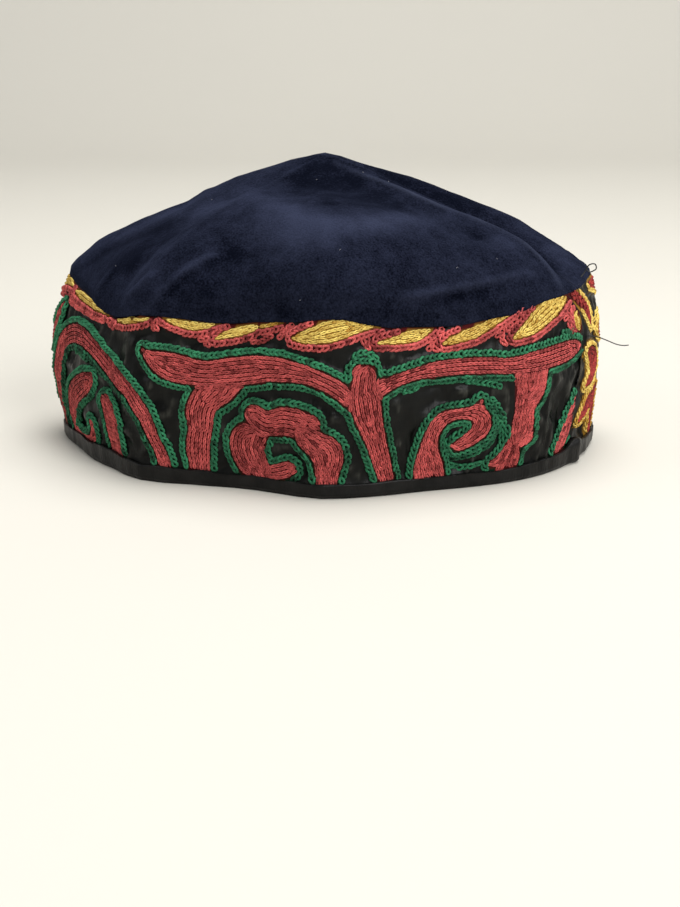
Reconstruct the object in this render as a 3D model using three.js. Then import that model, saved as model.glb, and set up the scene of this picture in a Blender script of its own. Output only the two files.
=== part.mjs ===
// A folding skullcap of sewn cloth: a pointed velvet crown in two halves, an upright
// band in two strips, and a tape folded over the lower edge as the rim.
// Millimetres, +Z up. The cap stands on its rim at z = 0 and its front faces -Y.
// Bearings are degrees anticlockwise from +X, seen from above.
import * as THREE from "three";
import { mergeVertices } from "three/addons/utils/BufferGeometryUtils.js";

// Driving dimensions
const RIM_WIDTH = 200;
const RIM_DEPTH = 157;
const RIM_SQUARENESS = 1.58; // 1 is a diamond with corners at the axes, 2 an ellipse
const APEX_HEIGHT = 107;
const BAND_WALL = 2.6; // satin over quilted cotton
const CROWN_WALL = 1.6; // velvet over thin wadding
const TAPE = 1; // one leg of the folded rim tape
const BINDING_HEIGHT = 5;
const BAND_FOOT = 1.8; // height of the band's raw edge inside the rim tape
const LEAN_POWER = 4; // 1 leans evenly from the rim, more only rolls in near the crown
const GAP = 0.3; // between sewn pieces
const SEAM_BEARING = -19; // the seam crosses the point of the crown to the opposite side

// How the limp rim departs from its even plan: a push outwards round a bearing
const RIM_PUSHES = [
  { part: "left corner", bearing: 168, spread: 16, push: 2.2 },
  { part: "left of the front", bearing: 188, spread: 18, push: -4 },
  { part: "left front corner", bearing: 220, spread: 14, push: 4.2 },
  { part: "front left flank", bearing: 249, spread: 24, push: -5 },
  { part: "right front corner", bearing: 326, spread: 35, push: 7.2 },
];

// The band all round: the height of its sewn edge above the rim, which the slack velvet weighs
// down between the corners, how far it leans in under the crown, and how far it swells halfway up
const BAND_TOP = [
  { bearing: -18, height: 62.6, lean: 1.2, bulge: 2.6 },
  { bearing: -6, height: 63.6, lean: 1.5, bulge: 2.8 },
  { bearing: 22, height: 60.5, lean: 1.5, bulge: 3 },
  { bearing: 60, height: 57.5, lean: 1.5, bulge: 3 },
  { bearing: 120, height: 57.5, lean: 1.5, bulge: 3 },
  { bearing: 152, height: 60.5, lean: 2, bulge: 4 },
  { bearing: 178, height: 62.2, lean: 3, bulge: 5 },
  { bearing: 192, height: 59.2, lean: 2.6, bulge: 4 },
  { bearing: 209, height: 54.9, lean: 2, bulge: 3 },
  { bearing: 224, height: 58.7, lean: 1.5, bulge: 3 },
  { bearing: 241, height: 57.2, lean: 1.5, bulge: 3 },
  { bearing: 258, height: 59.3, lean: 1.5, bulge: 3 },
  { bearing: 272, height: 61.6, lean: 1.5, bulge: 3 },
  { bearing: 288, height: 57.6, lean: 1.5, bulge: 3 },
  { bearing: 303, height: 56.8, lean: 1.5, bulge: 3 },
  { bearing: 316, height: 58.8, lean: 1.5, bulge: 3 },
  { bearing: 329, height: 62.2, lean: 1.5, bulge: 2.6 },
];

// Profiles of the crown from its point out to the band, by bearing.
// slope: share of the rise that is lost on the way out; shoulder: how late it rolls over
// to the band; sag: dip of the slack cloth below the point, as a share of the rise;
// puff: swell of the shoulder beyond the band
const CROWN_SECTIONS = [
  { part: "right seam", bearing: -19, slope: 0.92, shoulder: 9, sag: 0, puff: -0.6 },
  { part: "right back ridge", bearing: 0, slope: 0.66, shoulder: 4.5, sag: 0, puff: 0 },
  { part: "back", bearing: 90, slope: 0.42, shoulder: 4, sag: 0.07, puff: 2.6 },
  { part: "left back ridge", bearing: 150, slope: 0.57, shoulder: 4.2, sag: 0, puff: 0 },
  { part: "left seam", bearing: 161, slope: 0.68, shoulder: 5, sag: 0, puff: -1.5 },
  { part: "left front ridge", bearing: 180, slope: 0.6, shoulder: 4.1, sag: 0, puff: -1 },
  { part: "front", bearing: 270, slope: 0.36, shoulder: 4, sag: 0.11, puff: 2.6 },
  { part: "right front ridge", bearing: 335, slope: 0.7, shoulder: 11, sag: 0, puff: -1.4 },
];
const SAG_CENTRE = 0.3; // share of the way out from the point where the sag is deepest
const SAG_SPAN = 0.3;

// Soft folds in the velvet: a lift of the cloth round a bearing and a share of the way out
const CROWN_FOLDS = [
  { part: "first pleat at the left", bearing: 204, spread: 7, outward: 0.92, span: 0.22, lift: 1.3 },
  { part: "hollow between pleats", bearing: 211, spread: 6, outward: 0.93, span: 0.2, lift: -1.3 },
  { part: "second pleat at the left", bearing: 219, spread: 7, outward: 0.92, span: 0.22, lift: 1.5 },
  { part: "third pleat at the left", bearing: 230, spread: 7, outward: 0.9, span: 0.24, lift: 1.5 },
  { part: "hollow beside the front", bearing: 243, spread: 13, outward: 0.9, span: 0.24, lift: -1.8 },
  { part: "hollow right of the front", bearing: 322, spread: 14, outward: 0.72, span: 0.2, lift: -1.4 },
  { part: "roll above the right corner", bearing: 307, spread: 22, outward: 0.95, span: 0.12, lift: 1.4 },
];

// Cloths
const NAVY_VELVET = { color: 0x1b2036, roughness: 0.95 };
const BLACK_SATIN = { color: 0x1a1a18, roughness: 0.5 };
const BLACK_TAPE = { color: 0x161616, roughness: 0.6 };

// Mesh steps
const HALF_STEPS = 44; // round one half of the cap
const CLIMB_STEPS = 13; // from the band to the point of the crown
const BAND_LEVELS = 6;
const BAND_TUCK = 1 / BAND_LEVELS; // the lowest level is tucked into the rim tape
const SEAM_CROWDING = 0.5; // 0 is even, towards 1 crowds the steps at the seams

const radians = THREE.MathUtils.degToRad;
const turnBetween = (a, b) => THREE.MathUtils.euclideanModulo(a - b + 180, 360) - 180;

// A soft hump: 1 at x = 0, falling to 0 at x = -1 and x = 1.
const hump = (x) => (Math.abs(x) < 1 ? (1 + Math.cos(Math.PI * x)) / 2 : 0);

// A table's column at any bearing, eased from each row to the next all the way round.
function around(rows, column, bearing) {
  const count = rows.length;
  for (let i = 0; i < count; i++) {
    const here = rows[i];
    const next = rows[(i + 1) % count];
    const span = THREE.MathUtils.euclideanModulo(next.bearing - here.bearing, 360);
    const along = THREE.MathUtils.euclideanModulo(bearing - here.bearing, 360);
    if (along <= span) {
      const ease = (1 - Math.cos((Math.PI * along) / span)) / 2;
      return THREE.MathUtils.lerp(here[column], next[column], ease);
    }
  }
}

// Plan of the band's outer face at the rim
function planPoint(bearing) {
  const c = Math.cos(radians(bearing));
  const s = Math.sin(radians(bearing));
  const power = RIM_SQUARENESS;
  const even =
    (Math.abs((2 * c) / RIM_WIDTH) ** power + Math.abs((2 * s) / RIM_DEPTH) ** power) ** (-1 / power);
  const radius = RIM_PUSHES.reduce(
    (r, row) => r + row.push * hump(turnBetween(bearing, row.bearing) / row.spread),
    even,
  );
  return new THREE.Vector2(radius * c, radius * s);
}

function planNormal(bearing) {
  const step = 2.5;
  const chord = planPoint(bearing + step).sub(planPoint(bearing - step));
  return new THREE.Vector2(chord.y, -chord.x).normalize();
}

// A point beside the band's outer face, out along the plan's normal
function besideBand(bearing, out, height) {
  const p = planPoint(bearing).addScaledVector(planNormal(bearing), out);
  return new THREE.Vector3(p.x, p.y, height);
}

// The band: share runs from 0 at its raw edge in the tape to 1 at the sewn edge under the crown
function bandPoint(bearing, share, inset) {
  const top = around(BAND_TOP, "height", bearing);
  if (share === 0) return besideBand(bearing, -inset, BAND_FOOT);
  const bare = (share - BAND_TUCK) / (1 - BAND_TUCK);
  const height = THREE.MathUtils.lerp(BINDING_HEIGHT, top, bare);
  const bulge = around(BAND_TOP, "bulge", bearing) * Math.sin(Math.PI * bare);
  const lean = around(BAND_TOP, "lean", bearing) * bare ** LEAN_POWER;
  return besideBand(bearing, bulge - lean - inset, height);
}

// The crown: climb runs from 0 at the band to 1 at the point
function crownPoint(bearing, climb) {
  const top = around(BAND_TOP, "height", bearing) + GAP;
  const edge = bandPoint(bearing, 1, 0);
  const outward = 1 - climb ** 2;
  const section = (column) => around(CROWN_SECTIONS, column, bearing);
  const roll = Math.sqrt(1 - outward ** section("shoulder"));
  const sag = section("sag") * hump((outward - SAG_CENTRE) / SAG_SPAN);
  const rise = (1 - section("slope") * outward) * roll - sag;
  const fold = CROWN_FOLDS.reduce((sum, row) => {
    const aside = hump(turnBetween(bearing, row.bearing) / row.spread);
    return sum + row.lift * aside * hump((outward - row.outward) / row.span) * roll;
  }, 0);
  const puff = section("puff") * hump((climb - 0.25) / 0.25) + fold * 0.7;
  const out = planNormal(bearing).multiplyScalar(puff);
  return new THREE.Vector3(
    edge.x * outward + out.x,
    edge.y * outward + out.y,
    THREE.MathUtils.lerp(top, APEX_HEIGHT, rise) + fold * 0.7,
  );
}

// The way out of the cloth, level at the sewn edge so that the wall stands square on the band
function crownNormal(bearing, climb) {
  if (climb === 1) return new THREE.Vector3(0, 0, 1);
  const level = new THREE.Vector3(...planNormal(bearing), 0);
  if (climb === 0) return level;
  const turn = 1;
  const step = 0.02;
  const round = crownPoint(bearing + turn, climb).sub(crownPoint(bearing - turn, climb));
  const up = crownPoint(bearing, Math.min(1, climb + step)).sub(crownPoint(bearing, climb - step));
  const square = round.cross(up).normalize();
  return level.lerp(square, Math.min(1, climb / 0.3)).normalize();
}

// A grid of points: rows round the cap, each a list of points up the wall
function gridOf(bearings, steps, pointAt) {
  const levels = Array.from({ length: steps + 1 }, (_, k) => k / steps);
  return bearings.map((bearing) => levels.map((level) => pointAt(bearing, level)));
}

// Two triangles across four corners, leaving out any that has no area
function pushQuad(list, a, b, c, d) {
  for (const [p, q, r] of [[a, b, c], [a, c, d]]) {
    if (p.distanceTo(q) > 1e-4 && q.distanceTo(r) > 1e-4 && r.distanceTo(p) > 1e-4) list.push(p, q, r);
  }
}

function geometryOf(points) {
  const soup = new THREE.BufferGeometry().setFromPoints(points);
  const geometry = mergeVertices(soup, 1e-4);
  geometry.computeVertexNormals();
  return geometry;
}

// A wall between an outer and an inner grid of the same size, closed at its edges
function wallGeometry(outer, inner) {
  const points = [];
  const columns = outer.length - 1;
  const levels = outer[0].length - 1;
  for (let i = 0; i < columns; i++) {
    for (let k = 0; k < levels; k++) {
      pushQuad(points, outer[i][k], outer[i + 1][k], outer[i + 1][k + 1], outer[i][k + 1]);
      pushQuad(points, inner[i][k], inner[i][k + 1], inner[i + 1][k + 1], inner[i + 1][k]);
    }
    pushQuad(points, outer[i][0], inner[i][0], inner[i + 1][0], outer[i + 1][0]);
    pushQuad(points, outer[i][levels], outer[i + 1][levels], inner[i + 1][levels], inner[i][levels]);
  }
  for (let k = 0; k < levels; k++) {
    pushQuad(points, outer[0][k], outer[0][k + 1], inner[0][k + 1], inner[0][k]);
    pushQuad(points, outer[columns][k], inner[columns][k], inner[columns][k + 1], outer[columns][k + 1]);
  }
  return geometryOf(points);
}

// A closed ring: a section of [out, height] corners carried round the rim
function ringGeometry(section, bearings) {
  const points = [];
  const rings = bearings.map((bearing) => section.map(([out, height]) => besideBand(bearing, out, height)));
  rings.forEach((ring, i) => {
    const next = rings[(i + 1) % rings.length];
    section.forEach((_, k) => {
      const up = (k + 1) % section.length;
      pushQuad(points, ring[k], next[k], next[up], ring[up]);
    });
  });
  return geometryOf(points);
}

// Bearings over half the cap from one seam to the other, crowded towards both
function halfBearings(start) {
  return Array.from({ length: HALF_STEPS + 1 }, (_, i) => {
    const share = i / HALF_STEPS;
    const crowded = share - (SEAM_CROWDING * Math.sin(2 * Math.PI * share)) / (2 * Math.PI);
    return start + 180 * crowded;
  });
}

function piece(name, geometry, cloth) {
  const mesh = new THREE.Mesh(geometry, new THREE.MeshStandardMaterial({ ...cloth, metalness: 0 }));
  mesh.name = name;
  return mesh;
}

function crownHalf(name, start) {
  const bearings = halfBearings(start);
  const outer = gridOf(bearings, CLIMB_STEPS, crownPoint);
  const inner = gridOf(bearings, CLIMB_STEPS, (bearing, climb) =>
    crownPoint(bearing, climb).addScaledVector(crownNormal(bearing, climb), -CROWN_WALL),
  );
  return piece(name, wallGeometry(outer, inner), NAVY_VELVET);
}

function bandStrip(name, start) {
  const bearings = halfBearings(start);
  const outer = gridOf(bearings, BAND_LEVELS, (bearing, share) => bandPoint(bearing, share, 0));
  const inner = gridOf(bearings, BAND_LEVELS, (bearing, share) => bandPoint(bearing, share, BAND_WALL));
  return piece(name, wallGeometry(outer, inner), BLACK_SATIN);
}

function rimBinding() {
  const outside = GAP + TAPE;
  const inside = -(BAND_WALL + GAP + TAPE);
  const groove = BAND_FOOT - GAP;
  const section = [
    [GAP, 0],
    [outside, groove],
    [outside, BINDING_HEIGHT],
    [GAP, BINDING_HEIGHT],
    [GAP, groove],
    [inside + TAPE, groove],
    [inside + TAPE, BINDING_HEIGHT],
    [inside, BINDING_HEIGHT],
    [inside, groove],
    [inside + TAPE, 0],
  ];
  const backHalf = halfBearings(SEAM_BEARING).slice(0, -1);
  const frontHalf = halfBearings(SEAM_BEARING + 180).slice(0, -1);
  return piece("rim_binding", ringGeometry(section, [...backHalf, ...frontHalf]), BLACK_TAPE);
}

// The two halves stand half a gap to either side of the seam that crosses the cap.
function halfCap(start, halfName) {
  const half = new THREE.Group();
  const middle = radians(start + 90);
  half.position.set((Math.cos(middle) * GAP) / 2, (Math.sin(middle) * GAP) / 2, 0);
  half.add(bandStrip(`band_${halfName}`, start), crownHalf(`crown_${halfName}`, start));
  return half;
}

const cap = new THREE.Group();
cap.add(halfCap(SEAM_BEARING, "back"), halfCap(SEAM_BEARING + 180, "front"), rimBinding());

// The origin lies on the floor under the middle of the whole cap.
const middle = new THREE.Box3().setFromObject(cap).getCenter(new THREE.Vector3());
cap.children.forEach((child) => child.position.sub(middle.setZ(0)));

export default cap;
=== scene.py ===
import math

import bmesh
import bpy
import numpy as np
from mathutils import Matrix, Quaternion, Vector, noise
from mathutils.bvhtree import BVHTree


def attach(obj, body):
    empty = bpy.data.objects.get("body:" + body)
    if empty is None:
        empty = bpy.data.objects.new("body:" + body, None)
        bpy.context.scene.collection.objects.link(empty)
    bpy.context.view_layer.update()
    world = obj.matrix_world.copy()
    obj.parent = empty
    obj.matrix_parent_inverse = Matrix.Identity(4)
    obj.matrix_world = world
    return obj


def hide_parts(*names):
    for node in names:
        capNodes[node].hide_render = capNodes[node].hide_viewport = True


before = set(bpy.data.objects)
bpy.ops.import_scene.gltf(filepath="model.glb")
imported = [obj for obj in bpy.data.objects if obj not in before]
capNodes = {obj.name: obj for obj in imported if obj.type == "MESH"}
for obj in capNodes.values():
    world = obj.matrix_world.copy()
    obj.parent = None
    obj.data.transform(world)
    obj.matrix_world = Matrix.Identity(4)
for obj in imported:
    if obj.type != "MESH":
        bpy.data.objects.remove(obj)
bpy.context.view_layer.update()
mm = 0.001
dice = np.random.default_rng(41)
print("cap loaded:", ", ".join(sorted(capNodes)))


# Camera, light and floor
view = {
    "place": (0.0057, -0.6467, 0.1789),
    "tiltDown": 16.0,
    "lens": 70.0,
    "sensor": 36.0,
    "clipStart": 0.01,
    "worldLight": (0.86, 0.88, 0.92),
    "worldPower": 0.40,
}
lamps = [
    {"name": "topSoft", "place": (0.15, 0.10, 1.25), "aim": (0, 0, 0.06), "size": 1.0, "power": 17.0},
    {"name": "frontSoft", "place": (0.95, -1.60, 1.05), "aim": (0, 0, 0.04), "size": 1.1, "power": 29.0},
    {"name": "leftSoft", "place": (-1.10, -0.25, 0.70), "aim": (0, 0, 0.05), "size": 0.8, "power": 3.2},
    {"name": "rightSoft", "place": (1.10, -0.25, 0.70), "aim": (0, 0, 0.05), "size": 0.8, "power": 4.0},
]
floor = {
    "colour": (0.60, 0.575, 0.51),
    "patchTone": 0.96,
    "patchScale": 3.0,
    "roughness": 0.7,
    "half": 3.0,
    "back": 0.9,
    "bend": 0.5,
    "bendSteps": 12,
    "wall": 1.5,
}

scene = bpy.context.scene
scene.view_settings.view_transform = "Standard"
scene.view_settings.look = "None"

camData = bpy.data.cameras.new("photoCamera")
camData.sensor_fit = "VERTICAL"
camData.sensor_height = view["sensor"]
camData.lens = view["lens"]
camData.clip_start = view["clipStart"]
camObject = bpy.data.objects.new("photoCamera", camData)
camObject.location = view["place"]
camObject.rotation_euler = (math.radians(90 - view["tiltDown"]), 0, 0)
scene.collection.objects.link(camObject)
scene.camera = camObject

for lamp in lamps:
    lightData = bpy.data.lights.new(lamp["name"], "AREA")
    lightData.shape = "DISK"
    lightData.size = lamp["size"]
    lightData.energy = lamp["power"]
    lightObject = bpy.data.objects.new(lamp["name"], lightData)
    lightObject.location = lamp["place"]
    aim = Vector(lamp["aim"]) - Vector(lamp["place"])
    lightObject.rotation_euler = aim.to_track_quat("-Z", "Y").to_euler()
    scene.collection.objects.link(lightObject)

room = bpy.data.worlds.new("softRoom")
room.use_nodes = True
room.node_tree.nodes["Background"].inputs["Color"].default_value = (*view["worldLight"], 1)
room.node_tree.nodes["Background"].inputs["Strength"].default_value = view["worldPower"]
scene.world = room


def newMaterial(name):
    mat = bpy.data.materials.new(name)
    mat.use_nodes = True
    tree = mat.node_tree
    return mat, tree, tree.nodes["Principled BSDF"]


def plug(tree, socket, value):
    if isinstance(value, bpy.types.NodeSocket):
        tree.links.new(value, socket)
    elif socket.type == "RGBA":
        socket.default_value = (*value, 1)
    else:
        socket.default_value = value


def setSockets(tree, node, values):
    for key, value in values.items():
        plug(tree, node.inputs[key], value)


def addNode(tree, kind, values, **settings):
    node = tree.nodes.new(kind)
    for key, value in settings.items():
        setattr(node, key, value)
    setSockets(tree, node, values)
    return node


def mixColour(tree, factor, first, second):
    return addNode(tree, "ShaderNodeMix", {0: factor, 6: first, 7: second}, data_type="RGBA").outputs[2]


def ranged(tree, value, low, high, toLow=0.0, toHigh=1.0):
    values = {0: value, 1: low, 2: high, 3: toLow, 4: toHigh}
    return addNode(tree, "ShaderNodeMapRange", values).outputs[0]


def mathNode(tree, kind, first, second):
    return addNode(tree, "ShaderNodeMath", {0: first, 1: second}, operation=kind).outputs[0]


def objectNoise(tree, scale, detail=3.0, roughness=0.55, stretch=(1, 1, 1)):
    coords = addNode(tree, "ShaderNodeTexCoord", {})
    mapping = addNode(tree, "ShaderNodeMapping", {"Vector": coords.outputs["Object"], "Scale": stretch})
    values = {"Vector": mapping.outputs["Vector"], "Scale": scale, "Detail": detail, "Roughness": roughness}
    return addNode(tree, "ShaderNodeTexNoise", values).outputs[0]


def attributeValue(tree, name, output="Fac"):
    return addNode(tree, "ShaderNodeAttribute", {}, attribute_name=name).outputs[output]


def bumpInto(tree, shader, height, strength, distance):
    values = {"Height": height, "Strength": strength, "Distance": distance}
    plug(tree, shader.inputs["Normal"], addNode(tree, "ShaderNodeBump", values).outputs["Normal"])


def meshFrom(bm, name):
    mesh = bpy.data.meshes.new(name)
    bm.to_mesh(mesh)
    bm.free()
    return mesh


def vertsIn(geometry):
    return [g for g in geometry if isinstance(g, bmesh.types.BMVert)]


floorMat, tree, shader = newMaterial("paleFloor")
toned = tuple(floor["patchTone"] * c for c in floor["colour"])
tint = mixColour(tree, objectNoise(tree, floor["patchScale"]), floor["colour"], toned)
setSockets(tree, shader, {"Base Color": tint, "Roughness": floor["roughness"]})

# the floor runs back and turns up behind the cap in one sweep
bm = bmesh.new()
corners = [bm.verts.new((-floor["half"], y, 0)) for y in (-floor["half"], floor["back"])]
bm.edges.new(corners)
turned = bmesh.ops.spin(
    bm, geom=[corners[1]], cent=(-floor["half"], floor["back"], floor["bend"]), axis=(1, 0, 0),
    dvec=(0, 0, 0), angle=math.radians(90), steps=floor["bendSteps"])
rising = bmesh.ops.extrude_vert_indiv(bm, verts=vertsIn(turned["geom_last"]))
bmesh.ops.translate(bm, verts=rising["verts"], vec=(0, 0, floor["wall"]))
pulled = bmesh.ops.extrude_edge_only(bm, edges=bm.edges[:])
bmesh.ops.translate(bm, verts=vertsIn(pulled["geom"]), vec=(2 * floor["half"], 0, 0))
bmesh.ops.recalc_face_normals(bm, faces=bm.faces)
for face in bm.faces:
    face.smooth = True
floorMesh = meshFrom(bm, "paleFloor")
floorMesh.materials.append(floorMat)
floorObject = bpy.data.objects.new("paleFloor", floorMesh)
scene.collection.objects.link(floorObject)
print("camera, lamps and floor set")


# Cloth copies of the CAD pieces
clothPrep = {"merge": 2e-6, "flatAngle": 40, "shapeAngle": 70, "firmAngle": 50, "smooth": 0.5}


def addPiece(name, mesh, materials):
    piece = bpy.data.objects.new(name, mesh)
    scene.collection.objects.link(piece)
    mesh.materials.clear()
    for mat in materials:
        mesh.materials.append(mat)
    mesh.polygons.foreach_set("use_smooth", np.ones(len(mesh.polygons), dtype=bool))
    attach(piece, "root")
    return piece


def clothCopy(node, name, levels, passes):
    bm = bmesh.new()
    bm.from_mesh(capNodes[node].data)
    bmesh.ops.remove_doubles(bm, verts=bm.verts, dist=clothPrep["merge"])
    bmesh.ops.join_triangles(
        bm, faces=bm.faces, angle_face_threshold=math.radians(clothPrep["flatAngle"]),
        angle_shape_threshold=math.radians(clothPrep["shapeAngle"]))
    for k in range(levels):
        bmesh.ops.subdivide_edges(bm, edges=bm.edges, cuts=1, use_grid_fill=True)
    firm = set()
    for edge in bm.edges:
        if len(edge.link_faces) == 2 and edge.calc_face_angle(0) > math.radians(clothPrep["firmAngle"]):
            firm.update(edge.verts)
    soft = [v for v in bm.verts if v not in firm]
    for k in range(passes):
        bmesh.ops.smooth_vert(
            bm, verts=soft, factor=clothPrep["smooth"], use_axis_x=True, use_axis_y=True, use_axis_z=True)
    return meshFrom(bm, name)


def pointsOf(mesh, kind="co"):
    flat = np.empty(len(mesh.vertices) * 3)
    mesh.vertices.foreach_get(kind, flat)
    return flat.reshape(-1, 3)


# normals turned to point away from the cap's middle, and which of them did so already
def outwardOf(mesh, away):
    normal = pointsOf(mesh, "normal")
    facing = np.einsum("ij,ij->i", normal, away)
    return np.where(facing[:, None] < 0, -normal, normal), facing > 0


def placePoints(mesh, points):
    mesh.vertices.foreach_set("co", points.ravel())
    mesh.update()


# every noise of the cloth has its own seed, which shifts it
seeds = {"crown": 5, "band": 11, "crease": 17, "pucker": 23, "sway": 29, "mottle": 31}
seedShift = (3.1, 1.7, -2.3)


def noiseAt(points, size, seed):
    shift = Vector([seed * k for k in seedShift])
    return np.array([noise.noise(Vector(p) / size + shift) for p in points])


def rumpled(points, layers, seed):
    return sum(depth * noiseAt(points, size, seed) for size, depth in layers)


def bearingOf(points):
    return np.degrees(np.arctan2(points[:, 1], points[:, 0])) % 360


def turnFrom(bearing, start):
    return (bearing - start + 180) % 360 - 180


def fade(gap, width):
    return np.exp(-(gap / width) ** 2)


def planOut(points):
    return points[:, :2] / np.linalg.norm(points[:, :2], axis=1)[:, None].clip(1e-6)


def unit(vectors):
    return vectors / np.linalg.norm(vectors, axis=-1, keepdims=True)


def setAttribute(mesh, name, values, kind="FLOAT"):
    layer = mesh.attributes.new(name, kind, "POINT")
    key = "value" if kind == "FLOAT" else "color"
    layer.data.foreach_set(key, np.asarray(values, dtype=np.float32).ravel())


# faces with no outer corner take the second material, the lining
def lineInside(mesh, outer):
    inner = np.array([not any(outer[v] for v in face.vertices) for face in mesh.polygons])
    mesh.polygons.foreach_set("material_index", inner.astype(np.int32))


# height of the band's top edge at each bearing, from the CAD bands
edgeBearings = np.arange(0, 360, 3.0)
edgeReach = 4.0
bandPoints = np.vstack([pointsOf(capNodes[n].data) for n in ("band_front", "band_back")])
bandBearings = bearingOf(bandPoints)
edgeHeights = []
for b in edgeBearings:
    near = np.abs(turnFrom(bandBearings, b)) < edgeReach
    edgeHeights.append(bandPoints[near, 2].max())


def bandTop(bearing):
    return np.interp(np.asarray(bearing) % 360, edgeBearings, edgeHeights, period=360)


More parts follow.
